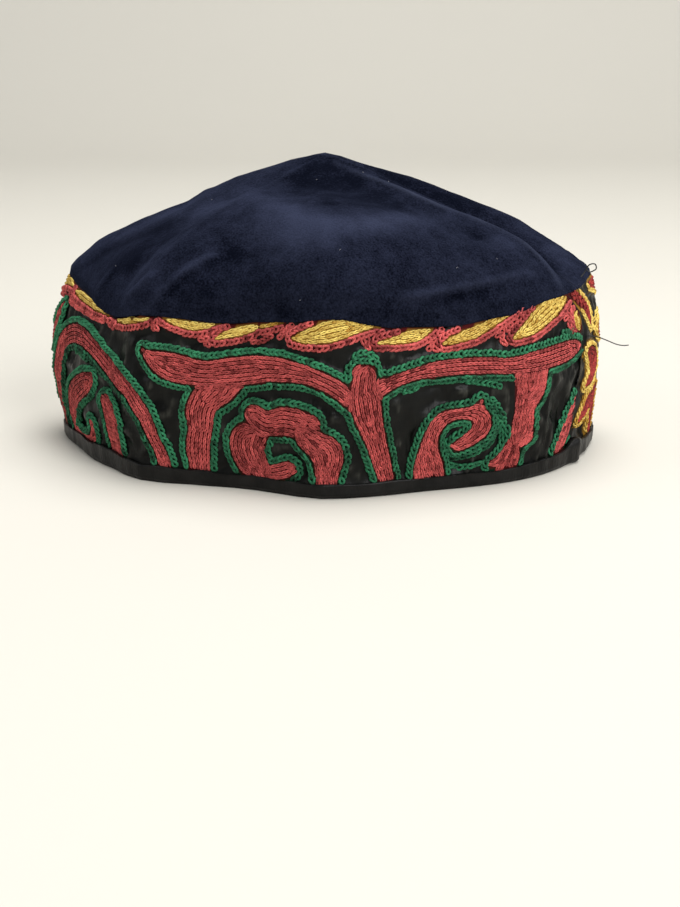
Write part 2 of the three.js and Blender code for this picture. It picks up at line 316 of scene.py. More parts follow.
# Scroll and leaf chart of a strip, along the band, above the rim, half width, all in mm
scrollChart = {
    "stem": [
        (14.1, 41.8, 4.1), (13.8, 39.9, 4.1), (13.6, 37.5, 4.4), (14.4, 33.5, 5.2), (15, 29.8, 5),
        (16.5, 25.1, 4.3), (18.3, 19.3, 3.6), (20.1, 13.5, 3.3), (22.2, 7, 3), (24.2, 0, 3)],
    "stemKnob": [(12.5, 43.7, 2.6), (15.7, 43.5, 2.6)],
    "leftBranch": [
        (12.3, 31.8, 3.2), (10.4, 33.9, 3.1), (5.5, 38, 3), (0.1, 41.1, 2.9), (-6.1, 43, 3.2),
        (-14.1, 43.7, 3.9), (-20.9, 43.5, 4.4), (-27.7, 42.5, 4.8), (-31.4, 41.8, 4.9), (-37.9, 40.8, 4.7),
        (-43.3, 40.3, 4.4), (-48, 40.6, 4.5), (-53.4, 41.5, 4.8), (-57.8, 42.5, 4.4), (-61.8, 43.8, 3.3),
        (-65, 45.4, 1.8), (-67.3, 47.2, 0.5)],
    "leftLeg": [
        (-34.5, 38.7, 5.2), (-38.1, 36.2, 6), (-42.3, 32.2, 5.4), (-44.3, 29.3, 5.2), (-45.2, 26.3, 5.2),
        (-45.4, 23.4, 4.9), (-45.8, 19.8, 4.4), (-46.7, 15.8, 4.5), (-47.3, 11.6, 4.5), (-47.3, 7.3, 4),
        (-47.7, 0, 4)],
    "rightBranch": [
        (16.4, 36.3, 3.4), (19.4, 38.2, 2.9), (22.5, 39.2, 2.3), (25, 40.1, 2.1), (32.4, 41.9, 2.1),
        (39.6, 42.9, 2.6), (46.7, 43.2, 2.8), (53.8, 43.2, 2.9), (61, 42.8, 2.9), (65.5, 42.2, 2.8),
        (70.7, 42, 2.9), (76.7, 42.3, 3.4), (82.9, 42.4, 3.7), (91.8, 42.8, 3.7), (98.8, 43.1, 3.2),
        (102.9, 43.2, 2.2), (106.3, 43, 0.6)],
    "rightLeg": [
        (76.9, 37.1, 7.8), (76.8, 34, 7.4), (75.7, 31.2, 6.3), (74.4, 28.6, 5), (74, 24.3, 4.8),
        (73.9, 20, 5.2), (73.2, 17.1, 4.8)],
    "rightFoot": [
        (71.2, 17, 2.8), (70.7, 15.1, 2.9), (70.3, 13, 3.4), (69.7, 11.1, 4.2), (69.5, 9.2, 4.6),
        (69, 6.1, 4.6)],
    "rightWedge": [(68.1, 10.3, 3.2), (65.2, 8.7, 2.4), (62.2, 7.7, 1.2)],
    "rightKnob": [(76.5, 17.8, 2.9), (76.8, 16.1, 2.6)],
    "rightSpiral": [
        (39.2, 0, 6.6), (38.4, 6.8, 5.9), (37.8, 11.4, 4.8), (37.8, 14.8, 3.7), (38.1, 18.2, 3),
        (38.9, 21, 2.7), (40.6, 24.1, 2.7), (43.4, 26.1, 2.3), (46.9, 27, 2), (50.5, 27.1, 2.1),
        (54, 26.7, 2.8), (56.4, 24.7, 3.3), (56.6, 21.7, 3.6), (54.5, 19.2, 3), (51.4, 17, 2.5),
        (48.6, 15.6, 1.9), (46.8, 15.7, 0.8)],
    "rightSpiralTip": [(55.3, 28.7, 2), (56.3, 31.2, 0.4)],
    "lobedScrollLimb": [
        (1.3, 0, 3.9), (1.3, 7.4, 4), (1.7, 13.4, 5.3), (0.7, 16.9, 5.7), (-2.3, 19.3, 4.9),
        (-5.2, 21.3, 4.4)],
    "lobedScrollTop": [
        (-4.7, 26.4, 3.6), (-7.6, 26, 5.1), (-11.1, 26.4, 5.2), (-14.4, 26.4, 5.1), (-17.5, 25.6, 4.6),
        (-20.4, 25, 4.5), (-22.9, 25.8, 4.4), (-25, 27.1, 3.9)],
    "lobedScrollLeaf": [
        (-24.2, 22.9, 4.2), (-25, 20.9, 4.6), (-28.1, 18, 6.4), (-28.7, 15.1, 6.6), (-27.7, 11.5, 6.5),
        (-26.6, 9.4, 5.9), (-25.6, 8, 4.8)],
    "lobedScrollHook": [
        (-25.5, 7.9, 3.6), (-20.6, 7.2, 2.7), (-16.2, 8.1, 3), (-13.1, 9.4, 2.9), (-12.1, 9.6, 2.4)],
    "leftArch": [
        (-59.6, 0, 2.6), (-60.8, 7.4, 2.5), (-62, 12.3, 2.3), (-63.6, 16.4, 2.3), (-64.9, 20.6, 2.6),
        (-66, 23.9, 2.8), (-68.1, 26.8, 2.9), (-70.9, 30.3, 3), (-74.2, 33.1, 3.1), (-78.2, 35, 3.2),
        (-83.7, 37.1, 3.2), (-89.6, 39.4, 3), (-94.4, 41.3, 2.9), (-99.4, 43.3, 2.9), (-104.9, 44.8, 3.1),
        (-110.6, 45.2, 3.3), (-116.6, 44.6, 3.5), (-121.9, 42.8, 3.8), (-126.1, 39.7, 4), (-128.4, 35.7, 4),
        (-130.8, 31, 4), (-132.7, 26.5, 4), (-135.1, 21.7, 4), (-137.4, 16.9, 4), (-139.8, 10.8, 4),
        (-141.9, 4.9, 3.9), (-142.9, 0, 3.9)],
    "archSpiral": [
        (-98.3, 31.3, 2.6), (-101.6, 29.6, 3.8), (-107.6, 26.6, 4.3), (-114.5, 23, 4.4),
        (-119.5, 18.9, 4.3), (-122.4, 15, 3.9), (-124.1, 10.8, 3.5), (-123, 7.4, 3), (-119, 5.6, 2.6),
        (-113.5, 5.3, 2.3), (-107.1, 6.4, 2.1), (-102.6, 9, 2), (-100.7, 12.2, 1.9), (-101.3, 14.7, 1.5)],
    "archStem": [
        (-87.6, 24.7, 3.2), (-86.6, 23.2, 4.2), (-85.4, 20.1, 4.7), (-84.8, 16.6, 4.8), (-84.7, 12.7, 4.8),
        (-84.8, 8.6, 4.6), (-84.7, 0, 4.6)],
    "endLeg": [
        (109.7, 26.8, 0.6), (108.4, 24.1, 2.3), (106.7, 20.7, 3.2), (104.7, 17, 3.6), (102.6, 13, 4),
        (100.2, 9.4, 4.2), (96.7, 0, 4.3)],
    "farBranch": [
        (-134.1, 51.7, 1.2), (-136.1, 48, 2.2), (-138.3, 43.8, 2.8), (-142.1, 39.7, 3.2), (-150.3, 37, 3.4),
        (-159.2, 38.1, 3.4), (-167.4, 35.5, 3.6), (-172.2, 28.2, 3.8), (-174.4, 16.9, 4), (-175.8, 6.9, 4),
        (-175.9, 0, 4)],
    "farLeg": [
        (-153.3, 27.2, 2.4), (-154.8, 22, 4), (-156.6, 14.9, 4.4), (-157.3, 6.9, 4.2), (-157.4, 0, 4.2)],
}
leafChart = {
    "leafA": [
        (-156.6, 56.7, 1.2), (-148.7, 58.7, 2.2), (-140.7, 60.5, 1.8), (-135.2, 60.4, 1.3),
        (-131.2, 59.4, 0.6)],
    "leafB": [
        (-126.9, 58.1, 0.7), (-120.1, 57.8, 1.4), (-110, 57.3, 1.4), (-100.2, 56.1, 1.0),
        (-92.3, 55.1, 0.5)],
    "leafC": [(-85.4, 54.3, 0.8), (-76.9, 55.6, 1.2), (-71, 56.6, 0.9), (-67.2, 57.3, 0.5)],
    "leafD": [
        (-60.2, 58.1, 0.8), (-56.5, 57.7, 2), (-52.8, 56.9, 2.2), (-48.8, 56.1, 1.8), (-44.8, 56.3, 1.2),
        (-40, 57.7, 0.6)],
    "leafE": [
        (-40.6, 52.1, 0.5), (-37.3, 53.5, 1.3), (-33.4, 54.6, 1.7), (-29.2, 55.8, 1.6), (-26.2, 56.7, 1)],
    "leafF": [(-23.9, 57.1, 0.6), (-19.8, 58.2, 0.8), (-16, 59.5, 0.6)],
    "leafG": [
        (-10.7, 54.5, 0.8), (-7.3, 55.1, 1.9), (-2.5, 56.1, 2.9), (2.2, 57.4, 3.7), (8.6, 58.7, 3.2),
        (14.6, 59.2, 2), (22.2, 59.4, 0.8)],
    "leafH": [
        (19.5, 53, 0.5), (22.7, 53.2, 0.9), (26, 53.5, 1.4), (30.3, 54.1, 1.9), (34.9, 54.7, 1.8),
        (39.4, 55.9, 0.6)],
    "leafI": [
        (43.5, 51.1, 0.6), (46.8, 52, 1.3), (51.3, 53, 1.7), (56.6, 54.5, 1.8), (63.3, 57.3, 1.5),
        (68.2, 59, 1.1), (72.5, 60.3, 0.5)],
    "leafJ": [
        (70.4, 51.3, 0.7), (74, 52.5, 1.6), (78.5, 54.2, 2.7), (83.7, 56.5, 3.3), (90.1, 58.8, 3.3),
        (98.1, 60.4, 2.5), (106.6, 61.2, 0.9)],
    "leafK": [(105.8, 54.8, 0.8), (105.1, 52.6, 2.4), (105.8, 51.4, 2.9)],
    "leafL": [(-173.6, 57.2, 0.8), (-167.6, 57.8, 1.9), (-161.6, 56.6, 0.7)],
}
# second rows of the outline wool, where the maker filled a corner
fillerRows = {
    "knobTop": [(8.9, 44.5), (10.5, 48.4), (14, 50), (17.6, 48.8), (19.3, 45.1)],
    "spiralSide": [
        (58.1, 30.7), (61.9, 27.3), (63.7, 22.1), (61.6, 16.8), (56.5, 13.1), (50.9, 11.2), (46.9, 10.7)],
    "spiralRing": [
        (59.5, 32), (63.4, 27.5), (65.9, 22.2), (65.7, 17.1), (63.9, 12.5), (60.3, 9.6), (55.2, 8),
        (50, 7.6), (46, 8.8)],
    "underBranch": [(25.1, 36.1), (29.7, 36.7), (33.7, 37.4)],
    "besideLeg": [(51, 38), (58.1, 37.2), (63.7, 35.1)],
    "underArch": [(-93.1, 36.2), (-99.1, 37.8), (-105.1, 39), (-111.3, 39.4)],
    "branchEnd": [(93.6, 49.4), (100.1, 49.4), (105.6, 47.8), (108.6, 44.6)],
}
# second rows of the leaf edging, below the leaves at the left
leafRows = {
    "leftCorner": [
        (-146.6, 54.2), (-140.6, 54.8), (-132.6, 54.2), (-120.6, 53.4), (-108.7, 53.2), (-100.7, 52.8),
        (-94.7, 52.7)],
    "leftLink": [(-70.3, 53.9), (-67.1, 55.6), (-64.4, 57.9), (-61.6, 59.2), (-56.6, 60)],
}
# a stretch beside the right leg that has no outline
noOutline = {"left": 64.7, "right": 69.9, "low": 20.0, "high": 37.5}
# leaves and scroll ends that only the back strip has, beside the right-hand seam
backOnly = {
    "lensUpper": [
        (-141, 39.4, 1.2), (-136.5, 37.4, 3.2), (-131.5, 33.6, 4.8), (-133, 30, 3.8), (-138, 27.6, 1.4)],
    "lensLower": [(-125, 22.4, 2.6), (-129, 20.4, 3.4), (-134.5, 18, 3.4), (-139.5, 15, 1.6)],
    "lensStem": [(-126.5, 22, 2.6), (-123.7, 14, 3.4), (-122.6, 7, 3.8), (-122.3, 0, 3.8)],
}
backLeaf = {
    "seamLeaf": [
        (-144.5, 62, 2), (-141.5, 60, 3.4), (-139.5, 56.5, 3.6), (-138, 52, 2.4), (-136.8, 48, 0.8)]}
chartStep = 0.5
chartHeights = np.arange(-6, 68, chartStep)
strokeReach = 16
farOff = 30.0


def flowLine(points, cuts=5):
    p = np.array(points, dtype=float)
    ext = np.vstack([2 * p[0] - p[1], p, 2 * p[-1] - p[-2]])
    line = []
    for k in range(1, len(ext) - 2):
        a, b, c, d = ext[k - 1:k + 3]
        for t in np.arange(cuts) / cuts:
            bend = (2 * a - 5 * b + 4 * c - d) * t * t + (3 * b - a - 3 * c + d) * t ** 3
            line.append(0.5 * (2 * b + (c - a) * t + bend))
    line.append(p[-1])
    return np.array(line)


# lowers the field to the distance from one stroke's edge, less than zero inside it
def addStroke(field, line, along):
    for a, b in zip(line[:-1], line[1:]):
        left, right = sorted((a[0], b[0]))
        low, high = sorted((a[1], b[1]))
        cols = np.nonzero((along > left - strokeReach) & (along < right + strokeReach))[0]
        rows = np.nonzero((chartHeights > low - strokeReach) & (chartHeights < high + strokeReach))[0]
        if not len(cols) or not len(rows):
            continue
        patch = np.ix_(rows, cols)
        run = b[:2] - a[:2]
        east = along[cols][None, :] - a[0]
        up = chartHeights[rows][:, None] - a[1]
        t = np.clip((east * run[0] + up * run[1]) / max(run @ run, 1e-9), 0, 1)
        gap = np.hypot(east - t * run[0], up - t * run[1]) - (a[2] + t * (b[2] - a[2]))
        field[patch] = np.minimum(field[patch], gap)


def strokeField(lines, along):
    field = np.full((len(chartHeights), len(along)), farOff)
    for line in lines:
        addStroke(field, line, along)
    return field


# values between the four nearest places of a grid
def blended(values, col, row):
    col = np.clip(col, 0, values.shape[1] - 1.001)
    row = np.clip(row, 0, values.shape[0] - 1.001)
    c = col.astype(int)
    r = row.astype(int)
    u, v = [part.reshape(-1, *[1] * (values.ndim - 2)) for part in (col - c, row - r)]
    lower = values[r, c] * (1 - u) + values[r, c + 1] * u
    upper = values[r + 1, c] * (1 - u) + values[r + 1, c + 1] * u
    return lower * (1 - v) + upper * v


def chartValue(field, along, s, h):
    return blended(field, (s - along[0]) / chartStep, (h - chartHeights[0]) / chartStep)


# lines of equal distance through the chart, each a run of (along, height) points
def chartLines(field, along, level):
    f = field - level
    f[f == 0] = 1e-6
    inside = f < 0
    mixed = inside[:-1, :-1].astype(int) + inside[:-1, 1:] + inside[1:, :-1] + inside[1:, 1:]
    spots = {}
    joins = {}

    def crossing(r, c, flat):
        key = (r, c, flat)
        if key not in spots:
            a = f[r, c]
            b = f[r, c + 1] if flat else f[r + 1, c]
            t = a / (a - b)
            s = along[c] + (t * chartStep if flat else 0)
            h = chartHeights[r] + (0 if flat else t * chartStep)
            spots[key] = (s, h)
        return key

    for r, c in zip(*np.nonzero((mixed > 0) & (mixed < 4))):
        ends = []
        if inside[r, c] != inside[r, c + 1]:
            ends.append(crossing(r, c, True))
        if inside[r, c + 1] != inside[r + 1, c + 1]:
            ends.append(crossing(r, c + 1, False))
        if inside[r + 1, c] != inside[r + 1, c + 1]:
            ends.append(crossing(r + 1, c, True))
        if inside[r, c] != inside[r + 1, c]:
            ends.append(crossing(r, c, False))
        for a, b in zip(ends[::2], ends[1::2]):
            joins.setdefault(a, []).append(b)
            joins.setdefault(b, []).append(a)
    lines = []
    left = set(joins)
    for start in [k for k in joins if len(joins[k]) == 1] + list(joins):
        if start not in left:
            continue
        run = [start]
        left.discard(start)
        while True:
            onward = [k for k in joins[run[-1]] if k in left]
            if not onward:
                break
            run.append(onward[0])
            left.discard(onward[0])
        if len(run) > 2 and run[0] in joins[run[-1]]:
            run.append(run[0])
        lines.append(np.array([spots[k] for k in run]))
    return lines


# Strips of the band: where each starts and ends, and which wools it is worked in
strips = {
    "front": {
        "node": "band_front", "from": 161.0, "to": 341.0, "zero": 270.0, "flip": 1, "shift": 0.0,
        "leftOut": (), "extraScrolls": {}, "extraLeaves": {}, "edging": 1.0,
        "wool": {"fill": "pink", "outline": "green", "leaf": "yellow", "leafEdge": "pink"}},
    "back": {
        "node": "band_back", "from": -19.0, "to": 161.0, "zero": 71.0, "flip": -1, "shift": -18.0,
        "leftOut": ("endLeg", "leafK"), "extraScrolls": backOnly, "extraLeaves": backLeaf, "edging": 0.72,
        "wool": {"fill": "red", "outline": "yellow", "leaf": "red", "leafEdge": "yellow"}},
}
strapHeight = 32.0  # arc length along a strip is measured at this height
stripEnd = 0.7  # degrees left free at each end of a strip
stripStops = 361  # places measured along a strip
chartMargin = 3.0  # mm of chart past each end of a strip
rayStart = 0.3  # metres from the middle, well outside the cap


def outerHit(tree, bearing, height):
    angle = math.radians(bearing)
    out = Vector((math.cos(angle), math.sin(angle), 0))
    return tree.ray_cast(out * rayStart + Vector((0, 0, height)), -out)[0]


def treeOf(mesh):
    bm = bmesh.new()
    bm.from_mesh(mesh)
    tree = BVHTree.FromBMesh(bm)
    bm.free()
    return tree


def onStrip(strip, stroke):
    return flowLine([(strip["flip"] * s + strip["shift"], *rest) for s, *rest in stroke])


def stripLines(strip, chart, extra):
    lines = {name: onStrip(strip, chart[name]) for name in chart if name not in strip["leftOut"]}
    lines.update({name: flowLine(stroke) for name, stroke in extra.items()})
    return lines


def bareEdge(strip, s, h):
    place = (s - strip["shift"]) * strip["flip"]
    bare = (place > noOutline["left"]) & (place < noOutline["right"])
    return bare & (h > noOutline["low"]) & (h < noOutline["high"])


for strip in strips.values():
    tree = treeOf(capNodes[strip["node"]].data)
    bearings = np.linspace(strip["from"] + stripEnd, strip["to"] - stripEnd, stripStops)
    spots = np.array([outerHit(tree, b, strapHeight * mm) for b in bearings]) / mm
    arc = np.concatenate([[0], np.cumsum(np.linalg.norm(np.diff(spots, axis=0), axis=1))])
    arc -= np.interp(strip["zero"], bearings, arc)
    strip["bearings"] = bearings
    strip["arc"] = arc
    strip["along"] = np.arange(arc[0] - chartMargin, arc[-1] + chartMargin, chartStep)
    strip["scrollLines"] = stripLines(strip, scrollChart, strip["extraScrolls"])
    strip["leafLines"] = stripLines(strip, leafChart, strip["extraLeaves"])
    for kind in ("scroll", "leaf"):
        strip[kind + "Field"] = strokeField(strip[kind + "Lines"].values(), strip["along"])
    print("strip charted:", strip["node"], "%.0f to %.0f mm" % (arc[0], arc[-1]))


# Materials of the cap: noises as scale, detail, roughness and stretch, bumps as strength and depth
velvet = {
    # the dark and light ends of the nap mix, which paints the crown's light and shade along with its brushed
    # nap
    "deepAndShaded": (0.0020, 0.0026, 0.0056),
    "brushedAndLit": (0.0245, 0.0290, 0.0530),
    # colour of the seam wear and of the painted highlights on the ridge and the fold crests
    "wornAndLit": (0.052, 0.060, 0.092),
    "pile": (1500.0, 2.0, 0.65),
    "pileTone": 0.20,
    "rub": (130.0, 4.0, 0.65),
    "rubTone": 0.16,
    "nubs": (240.0, 3.0, 0.6),
    "bump": (0.5, 0.0007),
    "roughness": 0.9,
    "sheen": 0.06,
    "sheenRoughness": 0.40,
    "sheenTint": (0.40, 0.48, 0.85),
}
lining = {
    "dark": (0.035, 0.031, 0.028),
    "light": (0.060, 0.054, 0.049),
    "weave": (1500.0, 1.0),
    "bump": (0.3, 0.0004),
    "roughness": 0.9,
}
satin = {
    "dark": (0.0016, 0.0017, 0.0014),
    "light": (0.0052, 0.0054, 0.0046),
    # colour of the painted highlight on the satin's wrinkle crests
    "crestHighlight": (0.036, 0.036, 0.030),
    "fading": (90.0, 4.0, 0.6),
    "rib": (900.0, 2.0, 0.5, (1.0, 1.0, 0.25)),
    "ribTone": (0.35, 0.65, 0.3, 1.2),
    "bump": (0.35, 0.0004),
    "roughness": (0.28, 0.46),
    "padDull": 0.45,
    "specular": 0.12,
}
tape = {
    "dark": (0.0022, 0.0021, 0.0019),
    "light": (0.0095, 0.0090, 0.0082),
    "fading": (110.0, 4.0, 0.65),
    "thread": (1200.0, 1.0, 0.5, (1.0, 1.0, 0.3)),
    "bump": (0.4, 0.0004),
    "roughness": 0.40,
    "specular": 0.15,
}
wools = {
    "pink": {"dark": (0.105, 0.006, 0.0065), "light": (0.77, 0.138, 0.128)},
    "green": {"dark": (0.002, 0.028, 0.011), "light": (0.034, 0.235, 0.105)},
    "yellow": {"dark": (0.46, 0.235, 0.026), "light": (1.0, 0.79, 0.210)},
    "red": {"dark": (0.120, 0.008, 0.008), "light": (0.48, 0.050, 0.042)},
}
yarn = {
    "fibre": (2600.0, 2.0),
    "fibreTone": 0.22,
    "twist": {"Scale": 1.0, "Distortion": 1.2},
    "bump": (0.6, 0.0003),
    "roughness": 0.70,
    "specular": 0.26,
}


noiseSpan = (0.3, 0.7)  # what a noise mostly stays within
fadeSpan = (0.35, 0.7)


# a tone moved up and down by a noise
def speckled(tree, tone, noiseOut, amount):
    return mathNode(tree, "ADD", tone, ranged(tree, noiseOut, *noiseSpan, -amount, amount))


def fadedGround(tree, cloth):
    faded = ranged(tree, objectNoise(tree, *cloth["fading"]), *fadeSpan)
    return faded, mixColour(tree, faded, cloth["dark"], cloth["light"])


velvetMat, tree, shader = newMaterial("navyVelvet")
pile = objectNoise(tree, *velvet["pile"])
# the nap colour carries painted light and shade as well as the brushed nap
napAndShade = speckled(tree, attributeValue(tree, "napAndShade"), objectNoise(tree, *velvet["rub"]), velvet["rubTone"])
napAndShade = speckled(tree, napAndShade, pile, velvet["pileTone"])
ground = mixColour(tree, napAndShade, velvet["deepAndShaded"], velvet["brushedAndLit"])
# seam wear and painted highlights on the ridge and fold crests
ground = mixColour(tree, attributeValue(tree, "wornAndLit"), ground, velvet["wornAndLit"])
setSockets(tree, shader, {
    "Base Color": ground, "Roughness": velvet["roughness"], "Specular IOR Level": 0.0,
    "Sheen Weight": velvet["sheen"], "Sheen Roughness": velvet["sheenRoughness"],
    "Sheen Tint": velvet["sheenTint"]})
nubs = mathNode(tree, "ADD", pile, objectNoise(tree, *velvet["nubs"]))
bumpInto(tree, shader, nubs, *velvet["bump"])

liningMat, tree, shader = newMaterial("liningCotton")
weave = objectNoise(tree, *lining["weave"])
ground = mixColour(tree, weave, lining["dark"], lining["light"])
setSockets(tree, shader, {"Base Color": ground, "Roughness": lining["roughness"]})
bumpInto(tree, shader, weave, *lining["bump"])

satinMat, tree, shader = newMaterial("blackSatin")
faded, ground = fadedGround(tree, satin)
rib = objectNoise(tree, *satin["rib"])
ribTone = ranged(tree, rib, *satin["ribTone"])
# painted highlight on the wrinkle crests, broken up by the rib noise
paintedGlint = mathNode(tree, "MULTIPLY", attributeValue(tree, "crestHighlight"), ribTone)
ground = mixColour(tree, paintedGlint, ground, satin["crestHighlight"])
# painted shade under the wool: a darkened wool colour where the stitches lie, made duller there too
padded = attributeValue(tree, "padAndShade", "Alpha")
ground = mixColour(tree, padded, ground, attributeValue(tree, "padAndShade", "Color"))
dull = mathNode(tree, "MULTIPLY", padded, satin["padDull"])
gloss = mathNode(tree, "ADD", ranged(tree, faded, 0, 1, *satin["roughness"]), dull)
setSockets(tree, shader, {
    "Base Color": ground, "Roughness": gloss, "Specular IOR Level": satin["specular"]})
bumpInto(tree, shader, rib, *satin["bump"])

tapeMat, tree, shader = newMaterial("bindingTape")
faded, ground = fadedGround(tree, tape)
setSockets(tree, shader, {
    "Base Color": ground, "Roughness": tape["roughness"], "Specular IOR Level": tape["specular"]})
bumpInto(tree, shader, objectNoise(tree, *tape["thread"]), *tape["bump"])

for woolName, wool in wools.items():
    wool["material"], tree, shader = newMaterial(woolName + "Wool")
    fibre = objectNoise(tree, *yarn["fibre"])
    # the shade attribute holds each link's own tone, less the painted shade where the strand dives
    tone = speckled(tree, attributeValue(tree, "shade"), fibre, yarn["fibreTone"])
    ground = mixColour(tree, tone, wool["dark"], wool["light"])
    setSockets(tree, shader, {
        "Base Color": ground, "Roughness": yarn["roughness"], "Specular IOR Level": yarn["specular"]})
    uv = addNode(tree, "ShaderNodeUVMap", {}, uv_map="strand")
    twist = {"Vector": uv.outputs["UV"], **yarn["twist"]}
    ply = addNode(tree, "ShaderNodeTexWave", twist, bands_direction="DIAGONAL")
    bumpInto(tree, shader, ply.outputs["Fac"], *yarn["bump"])
print("materials made")


# The right-hand seam of the band wanders off its straight line: bearing shift by height
seamSway = {
    "bearing": 341.0,
    "reach": 13.0,
    "band": [(0, -2.5), (17, -2.7), (27, -2.2), (38, 0), (45, 1.5), (55, 0.4), (59, -2.5), (63, -5)],
}


def seamTurn(bearing, height):
    places, turns = np.array(seamSway["band"], dtype=float).T
    return np.interp(height, places, turns) * fade(turnFrom(bearing, seamSway["bearing"]), seamSway["reach"])


# reach of the CAD band's outer face from the middle, by bearing, so that a swayed point stays on it
reachBearings = np.arange(0, 360, 1.0)
leastReach = 0.05  # metres, a shorter one means that the ray met no band
reachTrees = [treeOf(capNodes[n].data) for n in ("band_front", "band_back")]
reaches = []
for b in reachBearings:
    spots = [outerHit(tree, b, strapHeight * mm) for tree in reachTrees]
    reaches.append(max(math.hypot(spot.x, spot.y) if spot else 0.0 for spot in spots))
reaches = np.array(reaches)
known = reaches >= leastReach


def planScale(bearing):
    return np.interp(np.asarray(bearing) % 360, reachBearings[known], reaches[known], period=360)


def swayed(points, heights):
    bearing = bearingOf(points)
    shift = seamTurn(bearing, heights)
    turn = np.radians(shift)
    moved = points.copy()
    moved[:, 0] = points[:, 0] * np.cos(turn) - points[:, 1] * np.sin(turn)
    moved[:, 1] = points[:, 0] * np.sin(turn) + points[:, 1] * np.cos(turn)
    moved[:, :2] *= (planScale(bearing + shift) / planScale(bearing))[:, None]
    return moved


# Velvet crown: two halves with the folds of the cloth and patches of painted light and shade on its brushed
# nap, lines through points in mm
crownLines = {
    "ridge": [
        (4, -5, 104), (13, -10, 101), (25, -16, 97), (36, -22, 93), (48, -26, 88), (55, -28, 86),
        (63, -31, 82), (70, -34, 79), (76, -37, 74), (82, -40, 67), (85, -40, 63)],
    "behindRidge": [(60, -21, 84), (71, -28, 79), (79, -32, 73), (86, -36, 66)],
    "wedge": [(56, -15, 86), (66, -18, 82), (75, -21, 77), (81, -26, 71), (84, -33, 66)],
    "terraceLip": [
        (-30, -9, 96), (-22, -30, 94), (-12, -45, 92), (-1, -55, 90), (12, -54, 89), (30, -42, 89),
        (48, -30, 87)],
    "terrace": [(-26, -42, 89), (-16, -51, 87), (-4, -60, 87), (7, -59, 88)],
    "terraceArm": [(-50, -22, 86), (-40, -21, 90), (-29, -31, 93)],
    "hollowUpper": [(-4, -17, 98), (6, -18, 98), (16, -20, 96)],
    "hollowLower": [(-8, -39, 95), (3, -42, 95), (16, -34, 94), (30, -29, 92)],
    "leftEdge": [(-90, 0, 70), (-72, -7, 80), (-56, -7, 87), (-38, -1, 96)],
    "leftFlat": [(-86, 6, 72), (-74, 6, 79), (-62, 6, 85), (-50, 4, 91), (-42, 3, 94)],
    "leftUpper": [(-42, 3, 94), (-32, 2, 97.5), (-22, 3, 100.5), (-12, 2, 103.7), (-5, 0, 106)],
    "rightUpper": [(5, 0, 106), (13, 1, 102.8), (25, 3, 99), (38, 4, 95), (48, 4, 91.5)],
    "rightFlat": [(72, 4, 82.5), (80, 0, 79), (88, 2, 74), (97, -2, 67.5)],
    "rightCorner": [(91, 2, 72.5), (96, -2, 68.5), (99, -4, 65)],
    "darkUpper": [(-12, -6, 102), (-3, -10, 102), (7, -12, 101)],
    "darkMiddle": [(-12, -16, 98), (-4, -20, 97), (6, -22, 97), (15, -23, 96)],
    "darkLower": [(-4, -32, 97), (7, -33, 96), (18, -30, 95), (29, -24, 93)],
    "leftDark": [(-89, -8, 65), (-78, -13, 74), (-62, -21, 81), (-45, -39, 86)],
    "leftLow": [(-84, -20, 64), (-72, -29, 72), (-62, -33, 76)],
    "pleatRight": [(-60, -56, 60), (-55, -57, 67), (-47, -56, 74), (-40, -54, 78), (-33, -52, 80)],
    "pleatMiddle": [(-68, -47, 62), (-63, -51, 68), (-56, -52, 74)],
    "pleatLeft": [(-81, -29, 61), (-77, -29, 67), (-73, -30, 70)],
    "besidePleat": [(-55, -58, 63), (-50, -58, 70), (-40, -56, 75)],
    "frontDark": [(-38, -58, 73), (-32, -54, 78), (-26, -60, 76)],
    "frontLow": [(-48, -59, 64), (-35, -63, 63)],
    "cornerDip": [(48, -32, 86), (52, -37, 84), (56, -41, 81)],
    "cornerLit": [(59, -34, 83), (67, -40, 78)],
    "wrinkle": [(23, -72, 68), (32, -68, 68), (42, -64, 69), (53, -59, 70), (66, -50, 71), (75, -44, 71)],
    "underWrinkle": [(38, -66, 66), (49, -62, 67), (61, -56, 68)],
    "smallWrinkle": [(38, -67, 64), (41, -66, 60), (46, -65, 58)],
    "backDark": [(15, -2, 102), (31, -4, 97), (47, -6, 91), (61, -8, 86)],
    "backLit": [(77, -13, 77), (85, -16, 72), (92, -19, 66)],
    "sewnEdge": [
        (-71, -45, 58), (-44, -61, 59), (-10, -74, 62), (23, -72, 60), (52, -63, 60), (80, -44, 65)],
    "backFold": [(70, 30), (58, 44), (44, 55)],
    "backSwell": [(24, 66), (8, 70), (-12, 69)],
    "leftBackFold": [(-72, 24), (-58, 36), (-46, 40)],
    "backTerrace": [(-40, 20), (-16, 30), (12, 30), (36, 18)],
    "backHollow": [(-20, 12), (4, 16), (24, 10)],
}
